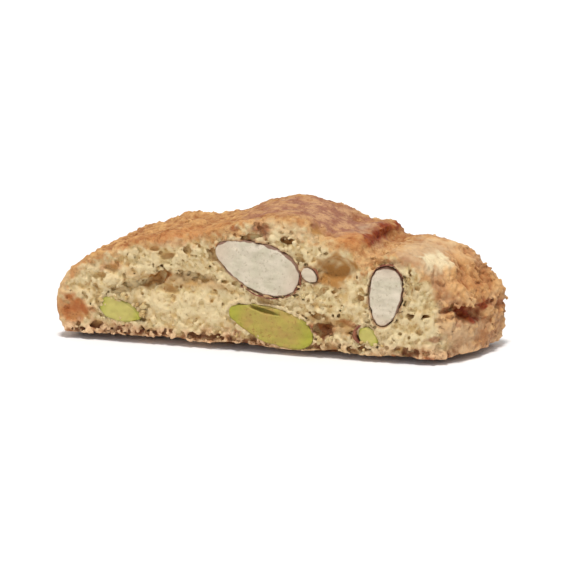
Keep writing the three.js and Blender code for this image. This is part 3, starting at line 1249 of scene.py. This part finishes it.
@dataclass(frozen=True)
class Crumbs:
    """Loose crumbs that cling to the cut faces, and half cover the small nut at the left."""

    clusters: tuple[Cluster, ...] = (
        Cluster((14.2, 5.6), Side.FRONT, (0.5, 0.8), 12, 0.45),
        Cluster((10.2, 7.2), Side.FRONT, (1.1, 0.3), 12, 0.45),
        Cluster((7.4, 6.6), Side.FRONT, (0.3, 0.5), 5, 0.4),
        Cluster((10.4, 3.5), Side.FRONT, (1.6, 0.25), 8, 0.35),
        Cluster((40.6, 9.6), Side.FRONT, (1.2, 0.35), 6, 0.35),
        Cluster((43.6, 3.2), Side.FRONT, (1.2, 0.4), 7, 0.4),
        Cluster((30, 2.6), Side.FRONT, (2.4, 0.4), 6, 0.35),
        Cluster((57.8, 12.6), Side.FRONT, (0.4, 1.4), 6, 0.4),
        Cluster((50.6, 3.0), Side.FRONT, (1.2, 0.5), 7, 0.4),
        Cluster((24, 6), Side.BACK, (0.6, 2.2), 8, 0.45),
        Cluster((52, 9), Side.BACK, (2, 0.6), 7, 0.4),
    )
    seed: int = 81
    sizes: Pair = (0.45, 1)  # of the crumbs, as shares of their cluster's
    bury: float = 0.2  # how far in from the cut face a crumb's middle may lie
    bumps: int = 5
    bump_height: float = 0.13  # as a share of the crumb's radius
    bump_turns: float = 3.4  # radians of a bump's wave for each radius
    squash: Pair = (0.7, 1.25)  # how much shorter or longer a crumb may be along each axis

    def build(self, loaf: Loaf) -> bpy.types.Object:
        """Models all the crumbs as one piece.

        Args:
            loaf: The loaf that they lie on.

        Returns:
            The finished piece, without its material.
        """
        lump = bmesh.new()
        bmesh.ops.create_icosphere(lump, subdivisions=2, radius=1)
        ball = np.array([v.co[:] for v in lump.verts])
        triangles = np.array([[v.index for v in face.verts] for face in lump.faces])
        lump.free()
        random = np.random.default_rng(self.seed)
        corners, faces = [], []
        for cluster in self.clusters:
            for _ in range(cluster.count):
                along, z = random.normal(cluster.place, cluster.spread)
                radius = cluster.size * random.uniform(*self.sizes)
                y = cluster.side.value * (loaf.depth / 2 - self.bury * random.random())
                middle = np.array([float(loaf.x_of(along, y)), y, z])
                bumps = sum(
                    self.bump_height
                    * np.sin(ball @ random.normal(0, self.bump_turns, 3) + random.uniform(*PHASES))
                    for _ in range(self.bumps)
                )
                shape = ball * (1 + bumps)[:, None] * radius * random.uniform(*self.squash, 3)
                corners.append(shape + middle)
                faces.append(triangles + len(ball) * len(faces))
        return mesh_object("biscotto_crumbs", np.concatenate(corners), np.concatenate(faces))


class Nodes:
    """Short ways to make shader nodes in one tree and join them."""

    def __init__(self, tree: bpy.types.NodeTree) -> None:
        """Works in a tree, which it empties first."""
        self.tree = tree
        tree.nodes.clear()

    def add(self, kind: str, inputs: dict | None = None, **settings: object) -> bpy.types.Node:
        """Makes a node.

        Args:
            kind: The node's type, after "ShaderNode", or its whole name.
            inputs: Values or sockets for its inputs, by name or number.
            **settings: Its own properties, which are set before its inputs.

        Returns:
            The node.
        """
        node = self.tree.nodes.new(kind if kind.startswith("NodeGroup") else "ShaderNode" + kind)
        for name, value in settings.items():
            setattr(node, name, value)
        for name, value in (inputs or {}).items():
            if isinstance(value, bpy.types.NodeSocket):
                self.tree.links.new(value, node.inputs[name])
            else:
                node.inputs[name].default_value = value
        return node

    def layer(self, name: str, share: float = 1.0) -> bpy.types.NodeSocket:
        """A layer that was stored on the mesh, or a share of it."""
        stored = self.add("Attribute", attribute_name=name).outputs["Fac"]
        return stored if share == 1 else self.math("MULTIPLY", stored, share)

    def math(
        self, operation: str, one: object, other: object = 0.0, clamp: bool = False
    ) -> bpy.types.NodeSocket:
        """The result of a sum on one or two values."""
        return self.add("Math", {0: one, 1: other}, operation=operation, use_clamp=clamp).outputs[0]

    def stepped(
        self, value: bpy.types.NodeSocket, low: float, high: float, top: float = 1.0
    ) -> bpy.types.NodeSocket:
        """A smooth rise from 0 where a value is low to top where it is high."""
        inputs = {"Value": value, "From Min": low, "From Max": high, "To Max": top}
        return self.add("MapRange", inputs, interpolation_type="SMOOTHSTEP").outputs[0]

    def mixed(self, share: object, one: object, other: object, blend: str = "MIX") -> bpy.types.NodeSocket:
        """One colour shading into another."""
        inputs = {0: share, 6: one, 7: other}
        return self.add("Mix", inputs, data_type="RGBA", blend_type=blend).outputs[2]


def colour(red: int, green: int, blue: int) -> Tone:
    """A screen colour, 0 to 255 a channel, as the linear colour that a shader takes."""
    linear = [((c / 255 + 0.055) / 1.055) ** 2.4 if c > 10 else c / 255 / 12.92 for c in (red, green, blue)]
    return (*linear, 1.0)


class Effects:
    """The shader node groups that more than one of the finishes use."""

    PATCHES = (0.4, 0.64)  # where a noise turns into a patch of colour
    FLECKS = (0.54, 0.7)  # and where a finer one turns into a fleck
    FINER = 4.3  # how much finer it is

    def __init__(self) -> None:
        """Builds each group once."""
        self.mottle = self._mottle()
        self.grain = self._grain()

    @staticmethod
    def _group(name: str, takes: dict[str, str], gives: dict[str, str]) -> tuple[Nodes, dict, bpy.types.Node]:
        """An empty group with its sockets.

        Args:
            name: The group's name.
            takes: The type of each input, by name.
            gives: The type of each output, by name.

        Returns:
            Its nodes, its input sockets by name, and the node that its results go to.
        """
        tree = bpy.data.node_groups.new(name, "ShaderNodeTree")
        for label, kind in takes.items():
            tree.interface.new_socket(label, in_out="INPUT", socket_type="NodeSocket" + kind)
        for label, kind in gives.items():
            tree.interface.new_socket(label, in_out="OUTPUT", socket_type="NodeSocket" + kind)
        nodes = Nodes(tree)
        start = nodes.add("NodeGroupInput")
        end = nodes.add("NodeGroupOutput")
        return nodes, {label: start.outputs[label] for label in takes}, end

    def _mottle(self) -> bpy.types.NodeTree:
        """Uneven colour: one colour shading into another in soft irregular patches, with finer flecks."""
        nodes, takes, end = self._group(
            "mottle",
            {"Base": "Color", "Patches": "Color", "Flecks": "Color", "Scale": "Float", "Amount": "Float"},
            {"Color": "Color"},
        )
        place = nodes.add("TexCoord").outputs["Object"]
        inputs = {"Vector": place, "Scale": takes["Scale"], "Detail": 5.0, "Roughness": 0.6}
        broad = nodes.stepped(nodes.add("TexNoise", inputs).outputs[0], *self.PATCHES)
        patchy = nodes.math("MULTIPLY", broad, takes["Amount"])
        toned = nodes.mixed(patchy, takes["Base"], takes["Patches"])
        finer = nodes.math("MULTIPLY", takes["Scale"], self.FINER)
        inputs = {"Vector": place, "Scale": finer, "Detail": 3.0, "Roughness": 0.7}
        specks = nodes.stepped(nodes.add("TexNoise", inputs).outputs[0], *self.FLECKS)
        flecked = nodes.math("MULTIPLY", specks, takes["Amount"])
        nodes.tree.links.new(nodes.mixed(flecked, toned, takes["Flecks"]), end.inputs["Color"])
        return nodes.tree

    def _grain(self) -> bpy.types.NodeTree:
        """Fine relief: a dry sandy grain over the modelled surface."""
        nodes, takes, end = self._group("grain", {"Scale": "Float", "Height": "Float"}, {"Normal": "Vector"})
        place = nodes.add("TexCoord").outputs["Object"]
        inputs = {"Vector": place, "Scale": takes["Scale"], "Detail": 6.0, "Roughness": 0.65}
        sand = nodes.add("TexNoise", inputs)
        bump = nodes.add("Bump", {"Height": sand.outputs[0], "Distance": takes["Height"], "Strength": 0.8})
        nodes.tree.links.new(bump.outputs[0], end.inputs["Normal"])
        return nodes.tree

    def mottled(
        self, nodes: Nodes, tones: tuple[Tone, Tone, Tone], size: float, amount: float
    ) -> bpy.types.NodeSocket:
        """An uneven colour.

        Args:
            nodes: The material's nodes.
            tones: The base, the patches and the flecks.
            size: How wide the patches are, in millimetres.
            amount: How strongly they show.

        Returns:
            The colour.
        """
        inputs = dict(zip(("Base", "Patches", "Flecks"), tones), Scale=1 / (size * MM), Amount=amount)
        return nodes.add("Group", inputs, node_tree=self.mottle).outputs[0]


@dataclass(frozen=True)
class BiscuitFinish:
    """Dry baked dough: pale crumb, browning through gold and orange to the crust, with painted shade in holes
    and round nuts and painted highlights on what stands out.
    """

    crumb: Tone = colour(214, 192, 142)
    crumb_patch: Tone = colour(202, 168, 110)
    crumb_fleck: Tone = colour(168, 120, 70)
    # painted shade: what the walls of holes darken to
    pit_shade_tone: Tone = colour(180, 126, 68)
    # toasted crumb, also the painted shade of recesses
    toast: Tone = colour(172, 122, 64)
    orange: Tone = colour(184, 108, 52)
    orange_light: Tone = colour(206, 144, 84)
    orange_dark: Tone = colour(140, 76, 34)
    rind: Tone = colour(216, 168, 110)
    rind_dark: Tone = colour(194, 128, 72)
    crust_rosy: Tone = colour(158, 104, 80)
    crust_tan: Tone = colour(206, 158, 114)
    crust_orange: Tone = colour(176, 112, 58)
    crust_gold: Tone = colour(222, 174, 112)
    crust_dark: Tone = colour(134, 74, 38)
    heel_tan: Tone = colour(226, 182, 134)
    heel_orange: Tone = colour(206, 148, 96)
    # burnt crust, also the painted shade of holes
    burnt_and_hole_shade: Tone = colour(136, 50, 14)
    burnt_dark: Tone = colour(76, 22, 8)
    burnt_light: Tone = colour(170, 90, 34)
    # painted shade round the nuts, with a brown stain
    stain_and_gap_shade: Tone = colour(156, 98, 60)
    # pale crumb, also the colour of painted highlights and painted light against shade
    pale_and_painted_light: Tone = colour(236, 216, 174)
    base_brown: Tone = colour(160, 98, 58)
    # cream of the lace, also its painted highlights
    base_cream: Tone = colour(242, 204, 160)
    # dark flecks of the lace, also the painted shade in its pits
    base_dark: Tone = colour(92, 40, 22)

    def material(self, effects: Effects) -> bpy.types.Material:
        """Makes the material that the slice and its loose crumbs share."""
        material = bpy.data.materials.new("baked_biscuit")
        material.use_nodes = True
        nodes = Nodes(material.node_tree)
        crumb = effects.mottled(nodes, (self.crumb, self.crumb_patch, self.crumb_fleck), 1.8, 1.0)
        # painted shade in the crumb's holes, by their depth
        crumb = nodes.mixed(nodes.layer("pit_shade"), crumb, self.pit_shade_tone)
        # painted highlight on the bits of crumb that stand out
        crumb = nodes.mixed(nodes.layer("peak_highlight", 0.55), crumb, self.pale_and_painted_light)
        rind = effects.mottled(nodes, (self.rind, self.rind_dark, self.crust_dark), 1.2, 0.9)
        shade = nodes.mixed(nodes.layer("rind", 0.85), crumb, rind)
        rosy = effects.mottled(nodes, (self.crust_rosy, self.crust_tan, self.crust_dark), 2.0, 1.0)
        orange = effects.mottled(nodes, (self.crust_orange, self.crust_gold, self.crust_dark), 1.1, 1.0)
        gold = effects.mottled(nodes, (self.heel_tan, self.heel_orange, self.crust_gold), 1.8, 1.0)
        grit = nodes.mixed(nodes.layer("heel"), orange, gold)
        # painted light and shade by relief: the crust's raised grit gold, its low spots dark
        relief_light_and_shade = nodes.mixed(nodes.layer("proud"), self.crust_dark, self.crust_gold)
        crust = nodes.mixed(nodes.layer("rosy", 0.95), nodes.mixed(0.42, grit, relief_light_and_shade), rosy)
        whole = nodes.math("SUBTRACT", 1.0, nodes.layer("torn"), clamp=True)
        shade = nodes.mixed(nodes.math("MULTIPLY", nodes.layer("skin"), whole), shade, crust)
        # pale patches, with painted highlights and painted light against shade
        shade = nodes.mixed(nodes.layer("pale_and_painted_light"), shade, self.pale_and_painted_light)
        ember = effects.mottled(nodes, (self.orange, self.orange_light, self.orange_dark), 1.5, 1.0)
        shade = nodes.mixed(nodes.layer("orange", 0.9), shade, ember)
        # toasted patches, and painted shade in recesses
        shade = nodes.mixed(nodes.layer("toast"), shade, self.toast)
        # painted shade in the gap round each nut, with a brown stain
        shade = nodes.mixed(nodes.layer("stain_and_gap_shade", 0.6), shade, self.stain_and_gap_shade)
        lace = effects.mottled(nodes, (self.base_brown, self.base_cream, self.base_dark), 0.9, 1.0)
        # painted highlight on the lace's raised bits
        lace = nodes.mixed(nodes.layer("peak_highlight", 0.7), lace, self.base_cream)
        # painted shade in the lace's pits
        lace = nodes.mixed(nodes.layer("pit_shade", 1.8), lace, self.base_dark)
        shade = nodes.mixed(nodes.layer("base", 0.92), shade, lace)
        # burnt crust, and painted shade in holes
        char_and_hole_shade = effects.mottled(nodes, (self.burnt_and_hole_shade, self.burnt_light, self.burnt_dark), 1.2, 0.8)
        shade = nodes.mixed(nodes.layer("burnt_and_hole_shade"), shade, char_and_hole_shade)
        grain = nodes.add("Group", {"Scale": 1 / (0.4 * MM), "Height": 0.3 * MM}, node_tree=effects.grain)
        rough = nodes.math("SUBTRACT", 0.92, nodes.layer("skin", 0.22))
        inputs = {"Base Color": shade, "Roughness": rough, "Specular IOR Level": 0.3}
        shader = nodes.add("BsdfPrincipled", inputs | {"Normal": grain.outputs[0]})
        nodes.add("OutputMaterial", {"Surface": shader.outputs[0]})
        return material


@dataclass(frozen=True)
class NutFinish:
    """Cut nut flesh, edged by the brown skin of the kernel."""

    name: str
    flesh: Tone
    heart: Tone
    fleck: Tone
    young: Tone  # the flesh of a small piece
    tip: Tone
    skin: Tone
    skin_share: float

    def material(self, effects: Effects) -> bpy.types.Material:
        """Makes the material that all nuts of the kind share."""
        material = bpy.data.materials.new(self.name)
        material.use_nodes = True
        nodes = Nodes(material.node_tree)
        shade = effects.mottled(nodes, (self.flesh, self.heart, self.fleck), 1.9, 0.9)
        shade = nodes.mixed(nodes.layer("core", 0.35), shade, self.heart)
        shade = nodes.mixed(nodes.layer("small", 0.7), shade, self.young)
        shade = nodes.mixed(nodes.layer("tip", 0.7), shade, self.tip)
        place = nodes.add("TexCoord").outputs["Object"]
        torn = nodes.add("TexNoise", {"Vector": place, "Scale": 1 / (1.8 * MM), "Detail": 4.0}).outputs[0]
        torn = nodes.math("MULTIPLY", torn, 2.0)
        edge = nodes.stepped(nodes.math("ADD", nodes.layer("rim"), torn), 1.5, 1.85, self.skin_share)
        shade = nodes.mixed(edge, shade, self.skin)
        shade = nodes.mixed(nodes.layer("slit", 0.8), shade, self.skin)
        grain = nodes.add("Group", {"Scale": 1 / (0.6 * MM), "Height": 0.14 * MM}, node_tree=effects.grain)
        inputs = {"Base Color": shade, "Roughness": 0.55, "Specular IOR Level": 0.35}
        shader = nodes.add("BsdfPrincipled", inputs | {"Normal": grain.outputs[0]})
        nodes.add("OutputMaterial", {"Surface": shader.outputs[0]})
        return material


@dataclass(frozen=True)
class SkinFinish:
    """Papery reddish-brown nut skin."""

    red: Tone = colour(122, 62, 44)
    brown: Tone = colour(150, 92, 60)
    dark: Tone = colour(82, 40, 34)

    def material(self, effects: Effects) -> bpy.types.Material:
        """Makes the material."""
        material = bpy.data.materials.new("nut_skin")
        material.use_nodes = True
        nodes = Nodes(material.node_tree)
        shade = effects.mottled(nodes, (self.red, self.brown, self.dark), 1.2, 1.0)
        shader = nodes.add("BsdfPrincipled", {"Base Color": shade, "Roughness": 0.7})
        nodes.add("OutputMaterial", {"Surface": shader.outputs[0]})
        return material


NUT_FINISHES = {
    Kernel.ALMOND: NutFinish(
        "almond_flesh", colour(218, 204, 182), colour(198, 188, 162), colour(176, 158, 132),
        colour(208, 190, 164), colour(208, 186, 162), colour(112, 66, 46), 0.85,
    ),
    Kernel.PISTACHIO: NutFinish(
        "pistachio_flesh", colour(172, 158, 70), colour(178, 146, 76), colour(146, 106, 46),
        colour(198, 188, 106), colour(160, 162, 40), colour(96, 92, 30), 0.4,
    ),
}


@dataclass(frozen=True)
class Studio:
    """The pale floor, the soft lights and the camera."""

    azimuth: float = 18.5
    elevation: float = 12.9
    lens: float = 320.0
    frame_width: float = 0.0887  # how much of the slice's own plane the picture spans
    aim_right: float = 0.03536  # how far the picture's middle lies right of the slice's front left foot
    aim_up: float = 0.00895  # and above it, in the picture's plane
    foot: Triple = (-0.03425, -0.0095, 0.0)

    def build(self) -> None:
        """Sets the stage."""
        self._floor()
        self._lights()
        self._camera()

    def _floor(self) -> None:
        """A wide pale floor that the slice stands on."""
        corners = np.array([(-1, -1, 0), (1, -1, 0), (1, 1, 0), (-1, 1, 0)]) * 3 / MM
        floor = mesh_object("studio_floor", corners, np.array([[0, 1, 2, 3]]))
        material = bpy.data.materials.new("studio_white")
        material.use_nodes = True
        nodes = Nodes(material.node_tree)
        shader = nodes.add("BsdfPrincipled", {"Base Color": (0.93, 0.93, 0.93, 1), "Roughness": 0.9})
        nodes.add("OutputMaterial", {"Surface": shader.outputs[0]})
        floor.data.materials.append(material)

    def _lights(self) -> None:
        """A soft light almost overhead, weaker ones in front and behind, and a white room."""
        world = bpy.data.worlds.new("studio_room")
        world.use_nodes = True
        world.node_tree.nodes["Background"].inputs[0].default_value = (1, 1, 1, 1)
        world.node_tree.nodes["Background"].inputs[1].default_value = 0.42
        bpy.context.scene.world = world
        for name, place, spread, power in (
            ("key", Vector((0.02, -0.2, 0.9)), 12.0, 2.3),
            ("front", Vector((-0.2, -1.0, 0.35)), 50.0, 0.55),
            ("back", Vector((0.3, 0.7, 0.5)), 40.0, 0.3),
        ):
            light = bpy.data.lights.new(name, "SUN")
            light.angle = math.radians(spread)
            light.energy = power
            lamp = bpy.data.objects.new(name, light)
            lamp.location = place
            lamp.rotation_euler = (-place).to_track_quat("-Z", "Y").to_euler()
            bpy.context.scene.collection.objects.link(lamp)

    def _camera(self) -> None:
        """The photograph's view: a long lens, from a little above and to the right."""
        turn, rise = math.radians(self.azimuth), math.radians(self.elevation)
        right = Vector((math.cos(turn), math.sin(turn), 0))
        back = Vector((math.sin(turn) * math.cos(rise), -math.cos(turn) * math.cos(rise), math.sin(rise)))
        up = back.cross(right)
        lens = bpy.data.cameras.new("studio_camera")
        lens.lens = self.lens
        distance = self.frame_width * lens.lens / lens.sensor_width
        camera = bpy.data.objects.new("studio_camera", lens)
        aim = Vector(self.foot) + right * self.aim_right + up * self.aim_up
        camera.location = aim + back * distance
        camera.rotation_euler = back.to_track_quat("Z", "Y").to_euler()
        bpy.context.scene.collection.objects.link(camera)
        bpy.context.scene.camera = camera
        bpy.context.scene.view_settings.view_transform = "Standard"


def settle(piece: bpy.types.Object, material: bpy.types.Material, slot: str, *nodes: str) -> None:
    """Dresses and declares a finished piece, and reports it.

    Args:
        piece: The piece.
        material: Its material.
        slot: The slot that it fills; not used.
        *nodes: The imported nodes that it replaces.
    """
    piece.data.materials.clear()
    piece.data.materials.append(material)
    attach(piece, "root")
    if nodes:
        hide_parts(*nodes)
    log.info("%s: %d faces", piece.name, len(piece.data.polygons))


def main() -> None:
    """Builds the slice, its nuts and the stage."""
    effects = Effects()
    loaf = Loaf()
    nuts = [Nut(node) for node in sorted(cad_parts) if node != "biscuit"]
    baked = BiscuitFinish().material(effects)
    for piece in Biscuit(loaf, nuts).build():
        settle(piece, baked, "biscuit", "biscuit")
    settle(Crumbs().build(loaf), baked, "biscuit")
    flesh = {kind: finish.material(effects) for kind, finish in NUT_FINISHES.items()}
    for number, nut in enumerate(nuts):
        settle(nut.build(number, loaf), flesh[nut.kind], nut.kind.value, nut.node)
    settle(SkinFlakes().build({nut.node: nut for nut in nuts}), SkinFinish().material(effects), "skin")
    Studio().build()


if __name__ == "__main__":
    main()
